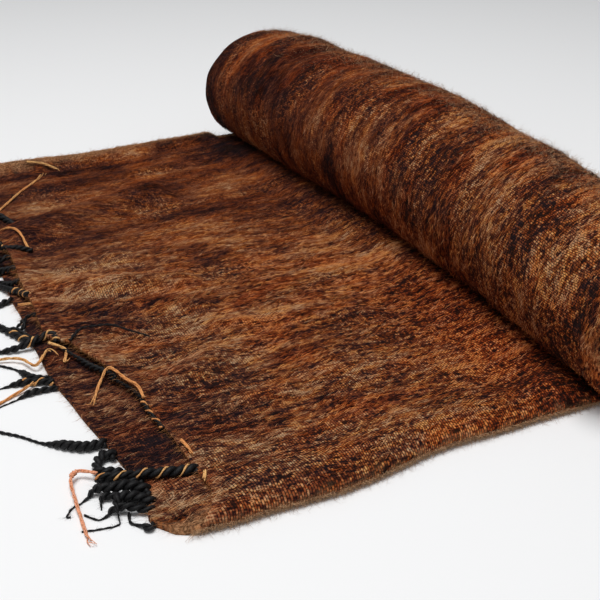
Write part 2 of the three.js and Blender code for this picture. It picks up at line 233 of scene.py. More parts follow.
# Patches of the cloth made paler or darker. The dark one at s 300, v 1160, by the foot of the roll at the far
# side, is painted shadow.
TONES = {
    "s": [45, 25, 80, 115, 150, 165, 255, 200, 52, 108, 95, 300, 50],
    "v": [632, 565, 675, 638, 930, 806, 905, 1040, 1030, 1062, 985, 1160, 920],
    "length": [50, 30, 45, 60, 90, 34, 50, 60, 30, 44, 40, 60, 26],
    "breadth": [32, 35, 12, 8, 70, 6, 40, 40, 110, 12, 22, 70, 12],
    "shift": [0.14, 0.14, -0.14, -0.1, 0.08, 0.16, -0.1, -0.08, -0.24, 0.18, -0.12, -0.2, 0.16],
}


def mottle(s, v):
    """The cloth's blotches, 0 dark to 1 pale. Painted shade darkens the groove inside the raised selvedge,
    the crease before the roll and the roll, most at its far end.
    """
    across = streak_place(s, v)
    broad = soft_noise(23, s / 110, across / 40)
    blotch = soft_noise(24, s / 32, across / 11)
    rolled = ease((s - ROLL_START) / 100)
    level = 0.5 + (0.75 * (broad - 0.5) + 0.5 * (blotch - 0.5)) * (1 + 0.3 * rolled)
    for *oval, shift in zip(*TONES.values()):
        level = level + shift * in_spot(s, v, *oval)
    # Painted shade: a dark groove just inside the raised selvedge, fading out towards the roll.
    groove = 1168 + 0.06 * (s - 150) ** 2 / 150
    level = level - 0.42 * bell((v - groove) / 15) * ease((300 - s) / 80)
    # Painted shade darkens the flat into the crease in front of the roll. The under layer beside the upper
    # layer's end and the back of the flat are darker too, and the flat by the roll is deeper.
    under_edge = ease((60 - s) / 20) * ease((555 - v) / 30)
    crease = ease((s - 255) / 80) * still_flat(s, 10)
    far = ease((v - 880) / 100) * still_flat(s, 10)
    foot = by_the_roll(s, v) * (s < ROLL_START)
    level = level - 0.3 * under_edge - 0.22 * crease - 0.05 * far - 0.09 * foot
    # Painted shade: the rolled part is darker, most towards its far end.
    return level - rolled * (0.04 + 0.1 * ease((330 - v) / 300))


def rustiness(s, v):
    drift = 0.2 * ease((s - 90) / 80) + 0.5 * ease((soft_noise(25, s / 45, v / 18) - 0.4) / 0.4)
    far = ease((v - 850) / 100) * still_flat(s, 10)
    return np.maximum(drift * (1 - 0.6 * far), by_the_roll(s, v))


def painted_rim_light(s, v):
    """How much painted highlight pales the wool: most along the front fold and the raised selvedge at the
    back, where the fuzz catches the light.
    """
    ragged = soft_noise(26, s / 9, v / 5)
    fold = bell((v - 595) / (2 + 11 * ragged)) * still_flat(s, 20)
    selvedge = bell((v - 1194) / (6 + 18 * ragged * ease((260 - s) / 200))) * still_flat(s, 60)
    return np.maximum(0.75 * fold, 0.9 * selvedge)


def ashiness(s, v):
    """Where the wool is greyer: at the fringed end, along the front and on the roll's side."""
    upper = ease((v - 590) / 10) * still_flat(s, 20)
    end = 0.4 * ease((170 - s) / 130) * upper
    front = 0.12 * ease((780 - v) / 120) * upper * ease((250 - s) / 80)
    under = 0.8 * ease((60 - s) / 20) * ease((590 - v) / 20)
    rolled = 0.3 * ease((s - 580) / 60) * ease((480 - v) / 150)
    return np.maximum(np.maximum(end, front), np.maximum(under, rolled))


def crispness(s, v):
    """How sharp the streaks are: the back half of the cloth is brushed smoother than the front."""
    back = np.where(s < ROLL_START, ease((v - 780) / 330), ease((480 - v) / 330))
    return 1.2 - 0.7 * back + 0.25 * by_the_roll(s, v) * (s < ROLL_START)


BARE = {
    "s": [60, 170, 280, 270, 95, 72, 25, 30, 665, 600, 700, 560, 640, 230],
    "v": [620, 615, 622, 710, 814, 780, 510, 557, 560, 520, 490, 585, 380, 760],
    "length": [80, 110, 80, 90, 46, 46, 20, 20, 90, 70, 70, 60, 60, 60],
    "breadth": [44, 40, 40, 80, 14, 12, 24, 20, 60, 36, 60, 30, 22, 14],
}


def nap_thickness(s, v):
    """How thick the brushed nap lies, 0 to 1."""
    thick = np.clip(0.45 + 0.25 * ease((v - 700) / 300) + 1.2 * (soft_noise(11, s / 70, v / 30) - 0.5), 0, 1)
    thick = np.maximum(thick, 0.8 * ease((62 - s) / 10) * ease((585 - v) / 10))
    for oval in zip(*BARE.values()):
        thick = thick * (1 - 0.9 * in_spot(s, v, *oval))
    from_end = s - end_x(np.clip(np.abs(v - FOLDED_WIDTH), 0, FOLDED_WIDTH), v >= FOLDED_WIDTH)
    return np.maximum(thick, np.maximum(ease((8 - from_end) / 6), ease(1.6 * bell((v - 592) / 10))))


def set_down(name, data):
    thing = bpy.data.objects.new(name, data)
    bpy.context.collection.objects.link(thing)
    return thing


def mesh_piece(name, points, faces):
    """A mesh from points in millimetres of the cloth's own frame and blocks of faces of equal size."""
    mesh = bpy.data.meshes.new(name)
    corners = np.concatenate([block.ravel() for block in faces])
    sizes = np.concatenate([np.full(len(block), block.shape[1]) for block in faces])
    mesh.vertices.add(len(points))
    mesh.vertices.foreach_set("co", ((points + CLOTH_ORIGIN) * MM).ravel())
    mesh.loops.add(len(corners))
    mesh.loops.foreach_set("vertex_index", corners)
    mesh.polygons.add(len(sizes))
    mesh.polygons.foreach_set("loop_start", np.concatenate([[0], np.cumsum(sizes)[:-1]]))
    mesh.update(calc_edges=True)
    mesh.shade_smooth()
    return set_down(name, mesh)


def keep_chart(piece, chart):
    piece.data.uv_layers.new(name="OFBake").data.foreach_set("uv", chart.ravel())


LAYER_COLUMNS = 109
FOLD_COLUMNS = 7
FLAT_ROWS = 76
FINE_TURN = 1.08
FINE_STEP = 5.0
COARSE_STEP = 14.0
SECOND_GIRTH = 370

flat_y = np.linspace(FOLD_DEPTH + LAYER / 2, FOLDED_WIDTH, LAYER_COLUMNS)
angle = np.pi * np.arange(1, FOLD_COLUMNS + 1) / (FOLD_COLUMNS + 1)
turn_y = flat_y[0] - FOLD_DEPTH * np.sin(angle)
turn_h = LAYER / 2 + FOLD_RADIUS * (1 - np.cos(angle))
level = np.zeros(LAYER_COLUMNS)
walk = {
    "y": np.concatenate([flat_y[::-1], turn_y, flat_y]),
    "h": np.concatenate([level + LAYER / 2, turn_h, level + DOUBLED - LAYER / 2]),
    "out_y": np.concatenate([level, -np.sin(angle), level]),
    "out_h": np.concatenate([level - 1, -np.cos(angle), level + 1]),
    "upper": np.concatenate([level > 0, angle > np.pi / 2, level < 1]),
}
columns = len(walk["y"])
layer_kept = np.arange(0, LAYER_COLUMNS, 4)
kept = np.concatenate([
    layer_kept,
    LAYER_COLUMNS + np.arange(FOLD_COLUMNS),
    LAYER_COLUMNS + FOLD_COLUMNS + layer_kept,
])


def turn_steps(first, last, step, radius):
    """Turns of the roll, one step of cloth apart, as a column."""
    turns = [first]
    while turns[-1] < last:
        turns.append(turns[-1] + step / (2 * np.pi * (radius - TURN_PITCH * turns[-1])))
    return np.array(turns)[:, None]


fine_turns = turn_steps(0.0, FINE_TURN, FINE_STEP, radius=64)
coarse_turns = turn_steps(fine_turns[-1, 0] + COARSE_STEP / SECOND_GIRTH, TURNS, COARSE_STEP, radius=66)


def cloth_rows(column_index, side):
    y = walk["y"][column_index] + side * walk["out_y"][column_index] * LAYER / 2
    h = walk["h"][column_index] + side * walk["out_h"][column_index] * LAYER / 2
    return y, h, walk["upper"][column_index]


def path_length(path):
    return np.concatenate([[0], np.cumsum(np.linalg.norm(np.diff(path, axis=0), axis=1))])


def cloth_v(column_index):
    """Where a column lies across the cloth laid out flat, evenly paced round the fold."""
    y = walk["y"]
    v = np.where(walk["upper"], FOLDED_WIDTH + y, FOLDED_WIDTH - y)
    bend = slice(LAYER_COLUMNS - 1, LAYER_COLUMNS + FOLD_COLUMNS + 1)
    outer_y = (y + walk["out_y"] * LAYER / 2)[bend]
    outer_h = (walk["h"] + walk["out_h"] * LAYER / 2)[bend] * (1 + FOLD_PLUMP)
    pace = path_length(np.stack([outer_y, outer_h], -1))
    v[bend] = v[bend][0] + (v[bend][-1] - v[bend][0]) * pace / pace[-1]
    return v[column_index]


fine_points = []
coarse_points = []
fine_flat = []
coarse_flat = []
every = np.arange(columns)
for side in (1, -1):
    y, h, upper = cloth_rows(every, side)
    start = end_x(walk["y"], upper)
    u = np.linspace(0, 1, FLAT_ROWS, endpoint=False)[:, None]
    x = start + (roll_x(walk["y"]) - start) * u
    fine_points.append(np.concatenate([flat_place(x, y, h, upper), wound_place(fine_turns, y, h)]))
    s = np.concatenate([x, run_length(fine_turns) + 0 * y])
    fine_flat.append(np.stack([s, cloth_v(every) + 0 * s, 0 * s + side], -1))
    y, h, upper = cloth_rows(kept, side)
    coarse_points.append(wound_place(coarse_turns, y, h))
    s = run_length(coarse_turns) + 0 * y
    coarse_flat.append(np.stack([s, cloth_v(kept) + 0 * s, 0 * s + side], -1))

fine_rows = len(fine_points[0])
coarse_rows = len(coarse_turns)
fine_index = np.arange(2 * fine_rows * columns).reshape(2, fine_rows, columns)
coarse_index = fine_index.size + np.arange(2 * coarse_rows * len(kept)).reshape(2, coarse_rows, len(kept))


def grid_faces(index):
    return np.stack([index[:-1, :-1], index[1:, :-1], index[1:, 1:], index[:-1, 1:]], -1).reshape(-1, 4)


blanket_faces = []
face_sides = []
for side in (0, 1):
    order = slice(None, None, 1 - 2 * side)
    blocks = [grid_faces(fine_index[side])[:, order], grid_faces(coarse_index[side])[:, order]]
    for width in np.unique(np.diff(kept)):
        at = np.flatnonzero(np.diff(kept) == width)
        near_edge = [fine_index[side, -1, kept[at] + k] for k in range(width, -1, -1)]
        far_edge = [coarse_index[side, 0, at], coarse_index[side, 0, at + 1]]
        blocks.append(np.stack(near_edge + far_edge, -1)[:, order])
    blanket_faces += blocks
    face_sides += [side] * len(blocks)
rims = []
for rim, flip in (
    (fine_index[:, 0, :], False),
    (coarse_index[:, -1, :], True),
    (np.concatenate([fine_index[:, :, 0], coarse_index[:, :, 0]], 1), True),
    (np.concatenate([fine_index[:, :, -1], coarse_index[:, :, -1]], 1), False),
):
    block = np.stack([rim[0, :-1], rim[0, 1:], rim[1, 1:], rim[1, :-1]], -1)
    rims.append(block[:, ::-1] if flip else block)
blanket_faces += rims
face_sides += [2] * len(rims)

points = np.concatenate([part.reshape(-1, 3) for part in fine_points + coarse_points])
cloth = np.concatenate([part.reshape(-1, 3) for part in fine_flat + coarse_flat])
blanket = mesh_piece("blanket_cloth", points, blanket_faces)
CLOTH_MEASURES = {
    "mottle": mottle,
    "rust": rustiness,
    "pale": painted_rim_light,
    "ash": ashiness,
    "crisp": crispness,
    "nap": nap_thickness,
}


def keep_values(piece, name, values, kind="FLOAT", field="value"):
    """Gives each point of a piece a value that its material reads by name."""
    piece.data.attributes.new(name, kind, "POINT").data.foreach_set(field, values.ravel())


def keep_cloth(piece, s, v, face, times=1):
    """Tells a piece's points where they lie on the cloth, and how the wool is there."""
    laid = np.stack([s, streak_place(s, v), face + 0 * s], -1)
    keep_values(piece, "cloth", np.repeat(laid * MM, times, axis=0), "FLOAT_VECTOR", "vector")
    for name, measure in CLOTH_MEASURES.items():
        keep_values(piece, name, np.repeat(measure(s, v), times))


keep_cloth(blanket, *cloth.T)

LONGEST_RUN = 2500
CHART_MARGIN = 0.005
corner_points = np.concatenate([block.ravel() for block in blanket_faces])
corner_sides = np.concatenate([np.full(block.size, side) for side, block in zip(face_sides, blanket_faces)])
chart_across = cloth[corner_points, 1] / (2 * FOLDED_WIDTH) * 0.46
chart_along = cloth[corner_points, 0] / LONGEST_RUN * 0.98 + CHART_MARGIN
chart = np.stack([chart_across + np.where(corner_sides == 1, 0.5, CHART_MARGIN), chart_along], -1)
on_rim = corner_sides == 2
chart[on_rim, 0] = np.where(cloth[corner_points[on_rim], 2] > 0, 0.975, 0.983)
keep_chart(blanket, chart)


def add_node(tree, kind, inputs=(), **settings):
    node = tree.nodes.new(kind)
    for name, value in settings.items():
        setattr(node, name, value)
    for name, value in dict(inputs).items():
        if isinstance(value, bpy.types.NodeSocket):
            tree.links.new(value, node.inputs[name])
        else:
            node.inputs[name].default_value = value
    return node


def calc(operation, a, b=0.0, clamp=False):
    node = add_node(a.id_data, "ShaderNodeMath", {0: a, 1: b}, operation=operation, use_clamp=clamp)
    return node.outputs[0]


def centred(value, amount):
    """A value of 0 to 1 as a shift either way, half of the amount at most."""
    steps = {0: value, 1: amount, 2: -amount / 2}
    return add_node(value.id_data, "ShaderNodeMath", steps, operation="MULTIPLY_ADD").outputs[0]


def read(tree, name, output="Fac"):
    return add_node(tree, "ShaderNodeAttribute", attribute_name=name).outputs[output]


def streaks(place, along, across, detail, seed):
    """Noise drawn out along the cloth: cells a metre along it and across it."""
    tree = place.id_data
    stretch = {"Vector": place, "Location": (seed, seed, seed), "Scale": (along, across, 1)}
    cells = {"Vector": add_node(tree, "ShaderNodeMapping", stretch).outputs[0], "Scale": 1.0}
    return add_node(tree, "ShaderNodeTexNoise", {**cells, "Detail": detail, "Roughness": 0.6}).outputs["Fac"]


def grain_noise(tree, scale, detail):
    """Noise through the piece's own space, with so many cells a metre."""
    cells = {"Vector": add_node(tree, "ShaderNodeTexCoord").outputs["Object"], "Scale": scale}
    return add_node(tree, "ShaderNodeTexNoise", {**cells, "Detail": detail}).outputs["Fac"]


def spread(value, low, high):
    limits = {"Value": value, "From Min": low, "From Max": high}
    ramp = add_node(value.id_data, "ShaderNodeMapRange", limits, interpolation_type="SMOOTHSTEP")
    return ramp.outputs["Result"]


def tint(tree, share, first, second, blend="MIX"):
    mix = add_node(tree, "ShaderNodeMix", {"Factor": share}, data_type="RGBA", blend_type=blend)
    for socket, value in ((mix.inputs[6], first), (mix.inputs[7], second)):
        if isinstance(value, bpy.types.NodeSocket):
            tree.links.new(value, socket)
        else:
            socket.default_value = (*value, 1.0)
    return mix.outputs[2]


WOOL_SHADES = {
    "level": [0.0, 0.17, 0.33, 0.5, 0.68, 0.84, 1.0],
    "colour": [
        (0.016, 0.0083, 0.0088),
        (0.054, 0.0150, 0.0100),
        (0.122, 0.0318, 0.0138),
        (0.215, 0.0575, 0.0205),
        (0.330, 0.1040, 0.0335),
        (0.460, 0.1840, 0.0640),
        (0.620, 0.3350, 0.1450),
    ],
}
RUST_CAST = (1.02, 0.65, 0.56)
GOLD_CAST = (1.10, 0.96, 0.68)
ASH_CAST = (0.87, 1.02, 1.34)
PALE_WOOL = (0.64, 0.335, 0.165)
PALE_SHADOW = (0.20, 0.095, 0.04)
# Painted shadow for the gaps between the yarns of the weave.
WEAVE_GAP_SHADOW = (0.0120, 0.0065, 0.0065)
PICK_PITCH = 1.65 * MM
END_PITCH = 2.4 * MM


def shade_ramp(level):
    node = add_node(level.id_data, "ShaderNodeValToRGB", {"Fac": level})
    stops = node.color_ramp.elements
    for at in WOOL_SHADES["level"][1:-1]:
        stops.new(at)
    for stop, colour in zip(stops, WOOL_SHADES["colour"]):
        stop.color = (*colour, 1.0)
    return node.outputs["Color"]


def wool_level(tree, laid_out):
    """How pale the wool is at a spot, from its blotches, bands and flecks."""
    bands = spread(streaks(laid_out, 65, 240, 2, 7.7), 0.3, 0.7)
    flecks = spread(streaks(laid_out, 230, 700, 1, 4.3), 0.32, 0.68)
    detail = calc("ADD", centred(bands, 0.42), centred(flecks, 0.55))
    return calc("ADD", read(tree, "mottle"), calc("MULTIPLY", detail, read(tree, "crisp")))


def dyed_wool(tree, laid_out, colour):
    """A wool colour with its drift from rust and gold to ash, paled by painted highlight at the fold and the
    selvedge.
    """
    rusted = tint(tree, read(tree, "rust"), colour, RUST_CAST, "MULTIPLY")
    drift = spread(streaks(laid_out, 70, 230, 3, 11.3), 0.34, 0.66)
    ash = calc("ADD", drift, read(tree, "ash"), clamp=True)
    ash = calc("SUBTRACT", ash, calc("MULTIPLY", read(tree, "rust"), 0.4), clamp=True)
    drifted = tint(tree, 1.0, rusted, tint(tree, ash, GOLD_CAST, ASH_CAST), "MULTIPLY")
    # Painted highlight: the fold and the raised selvedge are mixed towards pale wool, as their fuzz catches
    # the light.
    rim_light_colour = tint(tree, spread(grain_noise(tree, 700.0, 2.0), 0.35, 0.65), PALE_SHADOW, PALE_WOOL)
    return tint(tree, read(tree, "pale"), drifted, rim_light_colour)


def new_material(name, roughness, specular):
    """A material, its tree of nodes and its shader."""
    material = bpy.data.materials.new(name)
    material.use_nodes = True
    shader = material.node_tree.nodes["Principled BSDF"]
    shader.inputs["Roughness"].default_value = roughness
    shader.inputs["Specular IOR Level"].default_value = specular
    return material, material.node_tree, shader


def raise_grain(tree, shader, height, strength, distance):
    bump = add_node(tree, "ShaderNodeBump", {"Strength": strength, "Distance": distance, "Height": height})
    tree.links.new(bump.outputs[0], shader.inputs["Normal"])


wool, tree, shader = new_material("brushed_wool", 0.95, 0.03)
laid_out = read(tree, "cloth", "Vector")
level = wool_level(tree, laid_out)
hairs = spread(streaks(laid_out, 150, 1250, 2, 1.9), 0.3, 0.7)
axes = add_node(tree, "ShaderNodeSeparateXYZ", {0: laid_out})
crowding = centred(streaks(laid_out, 60, 90, 1, 2.7), 2.4)
picks = calc("ADD", calc("DIVIDE", axes.outputs[0], PICK_PITCH), crowding)
pick = calc("FLOOR", picks)
ends = calc("ADD", calc("DIVIDE", axes.outputs[1], END_PITCH), calc("MULTIPLY", pick, 0.5))
bead_s, bead_v = (
    calc("ABSOLUTE", calc("SINE", calc("MULTIPLY", count, math.pi))) for count in (picks, ends)
)
# Painted shade: the gaps between the yarns and the ends of each bead of yarn are darkened, as shade between
# the yarns.
bead_limits = {"Value": bead_v, "From Min": 0.1, "From Max": 0.8, "To Min": 0.3}
shaded_bead_ends = add_node(tree, "ShaderNodeMapRange", bead_limits).outputs["Result"]
bead = calc("MULTIPLY", spread(bead_s, 0.1, 0.65), shaded_bead_ends)
cell = add_node(tree, "ShaderNodeCombineXYZ", {0: pick, 1: calc("FLOOR", ends), 2: 0.0}).outputs[0]
bead_shade = add_node(tree, "ShaderNodeTexWhiteNoise", {"Vector": cell}).outputs["Value"]
yarn_level = calc("ADD", calc("ADD", level, 0.04), centred(bead_shade, 0.7))
woven = tint(tree, bead, WEAVE_GAP_SHADOW, shade_ramp(yarn_level))
napped = shade_ramp(calc("ADD", level, centred(hairs, 0.4)))
cover = spread(calc("ADD", read(tree, "nap"), calc("MULTIPLY", hairs, 0.3)), 0.25, 1.0)
faced = tint(tree, calc("MULTIPLY", cover, 0.8), woven, napped)
tree.links.new(dyed_wool(tree, laid_out, faced), shader.inputs["Base Color"])
relief = calc("ADD", calc("MULTIPLY", bead, 0.7), calc("MULTIPLY", hairs, 0.4))
raise_grain(tree, shader, relief, 0.8, 0.001)
sheen = {"Weight": 0.03, "Roughness": 0.5, "Tint": (0.85, 0.55, 0.35, 1.0)}
for name, value in sheen.items():
    shader.inputs["Sheen " + name].default_value = value
blanket.data.materials.append(wool)

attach(blanket, "root")
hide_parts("blanket")

# The nap is the wool that brushing has teased out of the weave. It lies along the cloth in flat locks
# of the cloth's colours, painted shade and highlight included, and is thin where the weave still shows.
# Each fibre is a fine ribbon that tapers to its tip.

NAP_FIBRES = 65000
UNDER_FIBRES = 4000
FIBRE_POINTS = 5
FIBRE_WIDTH = (0.18, 0.4)
NAP_RADIUS = 62
random = np.random.default_rng(20)


def fibre_piece(name, paths, outward, width):
    """Joined fibres: each path three points from root to tip, outward the way its ribbon faces."""
    count = len(paths)
    side = np.cross(np.gradient(paths, axis=1), outward)
    side *= width[:, None, None] / 2 / (np.linalg.norm(side, axis=-1, keepdims=True) + 1e-9)
    root, middle, tip = paths[:, 0], paths[:, 1], paths[:, 2]
    belly = 0.85 * side[:, 1]
    points = np.stack([root + side[:, 0], root - side[:, 0], middle + belly, middle - belly, tip], 1)
    first = FIBRE_POINTS * np.arange(count)[:, None]
    quads = first + [0, 1, 3, 2]
    tips = first + [2, 3, 4]
    piece = mesh_piece(name, points.reshape(-1, 3), [quads, tips])
    grid = math.ceil(math.sqrt(count))
    cell = np.stack([np.arange(count) % grid, np.arange(count) // grid], -1)
    spots = np.array([[0.2, 0.1], [0.8, 0.1], [0.2, 0.5], [0.8, 0.5], [0.5, 0.9]])
    chart = (cell[:, None, :] + spots) / grid
    keep_chart(piece, chart.reshape(-1, 2)[np.concatenate([quads.ravel(), tips.ravel()])])
    return piece


nap_wool, tree, shader = new_material("teased_nap", 0.9, 0.03)
laid_out = read(tree, "cloth", "Vector")
level = calc("ADD", wool_level(tree, laid_out), read(tree, "lock"))
tree.links.new(dyed_wool(tree, laid_out, shade_ramp(level)), shader.inputs["Base Color"])


def dye_nap(piece, s, v, lock_shade):
    """Gives each fibre the colour of the cloth at its middle, shifted by its own lock."""
    keep_cloth(piece, s, v, 1, FIBRE_POINTS)
    keep_values(piece, "lock", np.repeat(lock_shade * crispness(s, v), FIBRE_POINTS))
    piece.data.materials.append(nap_wool)


def lock_fibres(s_range, v_range, locks, fibres_a_lock):
    """Fibres in locks over a stretch of the cloth, kept where the nap is thick enough."""
    s = random.uniform(*s_range, locks)
    v = random.uniform(*v_range, locks)
    stay = random.random(locks) < 0.1 + nap_thickness(s, v)
    s, v = s[stay], v[stay]
    lean = (streak_place(s - 5, v) - streak_place(s + 5, v)) / 10 + random.normal(0, 0.1, len(s))
    reach = random.uniform(4, 12, len(s))
    shade = random.normal(0.02, 0.12, len(s))
    s, v, lean, reach, shade = (np.repeat(a, fibres_a_lock) for a in (s, v, lean, reach, shade))
    count = len(s)
    s = s + random.uniform(-0.5, 0.5, count) * reach
    v = v + random.normal(0, 0.8, count)
    lean = lean + random.normal(0, 0.2, count)
    length = reach * random.uniform(0.3, 0.8, count)
    t = np.array([0.0, 0.5, 1.0])
    path_s = s[:, None] + length[:, None] * t
    sway = random.normal(0, 0.09, (count, 1)) * length[:, None] * np.sin(np.pi * t)
    path_v = v[:, None] + length[:, None] * lean[:, None] * t + sway
    fly = random.random(count) < 0.07
    stand = np.where(fly, random.uniform(1.2, 3.5, count), np.abs(random.normal(0, 0.7, count)))
    height = 0.15 + stand[:, None] * np.where(fly[:, None], [0.0, 0.45, 1.0], [0.2, 1.0, 0.5])
    return path_s, path_v, height, shade + 0.04 * stand + random.normal(0, 0.14, count)


path_s, path_v, height, shade = lock_fibres((0, 350), (602, 1199), 30000, 4)
inside = (path_v > 601).all(1) & (path_v < 1199.5).all(1)
inside &= path_s[:, 0] > end_x(path_v[:, 0] - FOLDED_WIDTH, True) + 1
inside &= path_s[:, -1] < roll_x(path_v[:, -1] - FOLDED_WIDTH) - 12
chosen = np.flatnonzero(inside)[:NAP_FIBRES - UNDER_FIBRES]
paths = flat_place(path_s[chosen], path_v[chosen] - FOLDED_WIDTH, DOUBLED + height[chosen], True)
under_s, under_v, under_height, under_shade = lock_fibres((2, 46), (365, 596), 2200, 4)
under_y = FOLDED_WIDTH - under_v
ahead = (under_s < end_x(under_y, True) + 2) & (under_s > end_x(under_y, False) + 0.5)
under = np.flatnonzero(ahead.all(1) & (under_v < 597).all(1))[:UNDER_FIBRES]
under_paths = flat_place(under_s[under], under_y[under], LAYER + under_height[under], False)
paths = np.concatenate([paths, under_paths])
facing = [0.0, 0.0, 1.0] + random.normal(0, 0.35, (len(paths), 1, 3))
flat_nap = fibre_piece("nap_flat", paths, facing, random.uniform(*FIBRE_WIDTH, len(paths)))
dye_nap(
    flat_nap,
    np.concatenate([path_s[chosen, 1], under_s[under, 1]]),
    np.concatenate([path_v[chosen, 1], under_v[under, 1]]),
    np.concatenate([shade[chosen], under_shade[under]]),
)


def off_roll(turn):
    """The way straight out from the roll's axis."""
    swing = 2 * np.pi * turn
    return np.stack([np.sin(swing), 0 * swing, -np.cos(swing)], -1)


path_s, path_v, height, shade = lock_fibres((375, 765), (1, 598), 30000, 4)
path_turn = (path_s - FLAT_RUN) / (2 * np.pi * NAP_RADIUS)
inside = (path_v > 0.5).all(1) & (path_v < 598).all(1) & (path_turn < 0.985).all(1)
chosen = np.flatnonzero(inside)[:NAP_FIBRES]
paths = wound_place(path_turn[chosen], FOLDED_WIDTH - path_v[chosen], -height[chosen])
facing = off_roll(path_turn[chosen]) + random.normal(0, 0.35, (len(paths), 1, 3))
roll_nap = fibre_piece("nap_roll", paths, facing, random.uniform(*FIBRE_WIDTH, len(chosen)))
dye_nap(roll_nap, path_s[chosen, 1], path_v[chosen, 1], shade[chosen])

for piece in (flat_nap, roll_nap):
    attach(piece, "root")

# Along the fold, the selvedges, the fringed end and the top of the roll the teased wool stands off
# in a halo of short hairs, with a few longer ones past it. It is the same nap, seen against the light.

FOLD_HAIRS = 8000
SELVEDGE_HAIRS = 6000
ROLL_RIM_HAIRS = 2500
ROLL_TOP_HAIRS = 18000
END_HAIRS = 8000
LONGEST_HAIR = 9.0
LONG_SHARE = 0.15
PALE_HAIR = np.array([0.68, 0.42, 0.24])
BROWN_HAIR = np.array([0.46, 0.20, 0.075])


def halo_paths(roots, outward, reach):
    """Hairs from their roots outward, drooping and swept along the cloth as they go."""
    count = len(roots)
    swept = outward + random.normal(0, 0.45, (count, 3))
    swept[:, 0] += random.normal(0, 0.9, count)
    swept *= np.minimum(1, LONGEST_HAIR / (reach * np.linalg.norm(swept, axis=1)))[:, None]
    t = np.array([0.0, 0.5, 1.0])[None, :, None]
    paths = roots[:, None] + swept[:, None] * t * reach[:, None, None]
    paths += random.normal(0, 0.15, (count, 1, 3)) * np.sin(np.pi * t) * reach[:, None, None]
    paths[..., 2] -= 0.25 * reach[:, None] * [0.0, 0.25, 1.0]
    paths[..., 2] = np.maximum(paths[..., 2], 0.25)
    return paths


angle = np.pi * random.uniform(0.04, 0.5, FOLD_HAIRS)
hair_x = random.uniform(20, 345, FOLD_HAIRS)
hair_y = (FOLD_DEPTH + LAYER / 2) * (1 - np.sin(angle))
hair_h = LAYER / 2 + FOLD_RADIUS * (1 - np.cos(angle)) - LAYER / 2 * np.cos(angle)
fold_roots = flat_place(hair_x, hair_y, hair_h, angle > np.pi / 2)
fold_out = np.stack([0 * angle, -np.sin(angle), -np.cos(angle)], -1)

hair_x = random.uniform(50, 350, SELVEDGE_HAIRS)
hair_upper = random.random(SELVEDGE_HAIRS) < 0.7
below_top = LAYER * random.random(SELVEDGE_HAIRS)
over_floor = LAYER * random.random(SELVEDGE_HAIRS)
hair_h = np.where(hair_upper, DOUBLED - below_top, over_floor)
selvedge_roots = flat_place(hair_x, random.uniform(588, 600, SELVEDGE_HAIRS), hair_h, hair_upper)
selvedge_out = np.tile([0.0, 0.8, 0.6], (SELVEDGE_HAIRS, 1))

hair_turn = random.uniform(0.05, 0.8, ROLL_RIM_HAIRS)
rim_angle = np.pi * random.uniform(0.3, 1.0, ROLL_RIM_HAIRS)
rim_y = FOLD_DEPTH * (1 - np.sin(rim_angle))
rim_roots = wound_place(hair_turn, rim_y, FOLD_RADIUS * (1 + np.cos(rim_angle)))
rim_out = -np.cos(rim_angle)[:, None] * off_roll(hair_turn)
rim_out[:, 1] = -np.sin(rim_angle)

hair_turn = np.where(
    random.random(ROLL_TOP_HAIRS) < 0.7,
    random.uniform(0.32, 0.52, ROLL_TOP_HAIRS),
    random.uniform(0.1, 0.6, ROLL_TOP_HAIRS),
)
top_roots = wound_place(hair_turn, random.uniform(2, 598, ROLL_TOP_HAIRS), 0.0)
top_out = off_roll(hair_turn)

hair_y = random.uniform(6, 560, END_HAIRS)
hair_upper = random.random(END_HAIRS) < 0.6
hair_h = LAYER * random.random(END_HAIRS) + np.where(hair_upper, LAYER + LAYER_GAP, 0.0)
hair_x = end_x(hair_y, hair_upper) + random.uniform(0, 3, END_HAIRS)
end_roots = flat_place(hair_x, hair_y, hair_h, hair_upper)
end_out = np.tile([-0.9, 0.0, 0.1], (END_HAIRS, 1))

roots = np.concatenate([fold_roots, selvedge_roots, rim_roots, top_roots, end_roots])
outward = np.concatenate([fold_out, selvedge_out, rim_out, top_out, end_out])
is_long = random.random(len(roots)) < LONG_SHARE
reach = np.where(is_long, random.uniform(3, 7.5, len(roots)), random.uniform(0.8, 2.6, len(roots)))
reach[-END_HAIRS - ROLL_TOP_HAIRS:-END_HAIRS] *= 1.5
paths = halo_paths(roots, outward, reach)
pale = np.where(reach > 3, 0.55, 1.0)[:, None] * random.uniform(0.6, 1.0, (len(roots), 1)) * PALE_HAIR
pale[-END_HAIRS:] = random.uniform(0.3, 1.3, (END_HAIRS, 1)) * BROWN_HAIR
rim_hairs = slice(FOLD_HAIRS + SELVEDGE_HAIRS, FOLD_HAIRS + SELVEDGE_HAIRS + ROLL_RIM_HAIRS)
pale[rim_hairs] = random.uniform(0.3, 1.0, (ROLL_RIM_HAIRS, 1)) * BROWN_HAIR
facing = outward[:, None] + random.normal(0, 0.8, (len(roots), 1, 3))
halo = fibre_piece("nap_halo", paths, facing, random.uniform(0.09, 0.17, len(roots)))

fine_hair, tree, shader = new_material("fine_hair", 0.9, 0.03)
tree.links.new(read(tree, "tone", "Color"), shader.inputs["Base Color"])


def dye_hair(piece, tones):
    tones = np.c_[tones, np.ones(len(tones))]
    keep_values(piece, "tone", np.repeat(tones, FIBRE_POINTS, axis=0), "FLOAT_COLOR", "color")
    piece.data.materials.append(fine_hair)


dye_hair(halo, pale)
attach(halo, "root")

# The lower fringe is the warp ends of the under layer, twisted by hand into two-ply cords of black yarn
# that thin out to a single frayed yarn. They lie on the floor, some bunched, some drawn far out.

CORD_PITCH = 11.0
CORD_STEP = 1.0
PLY_SIDES = 7
Cord = namedtuple("Cord", "thick thin_from tail accent stops")


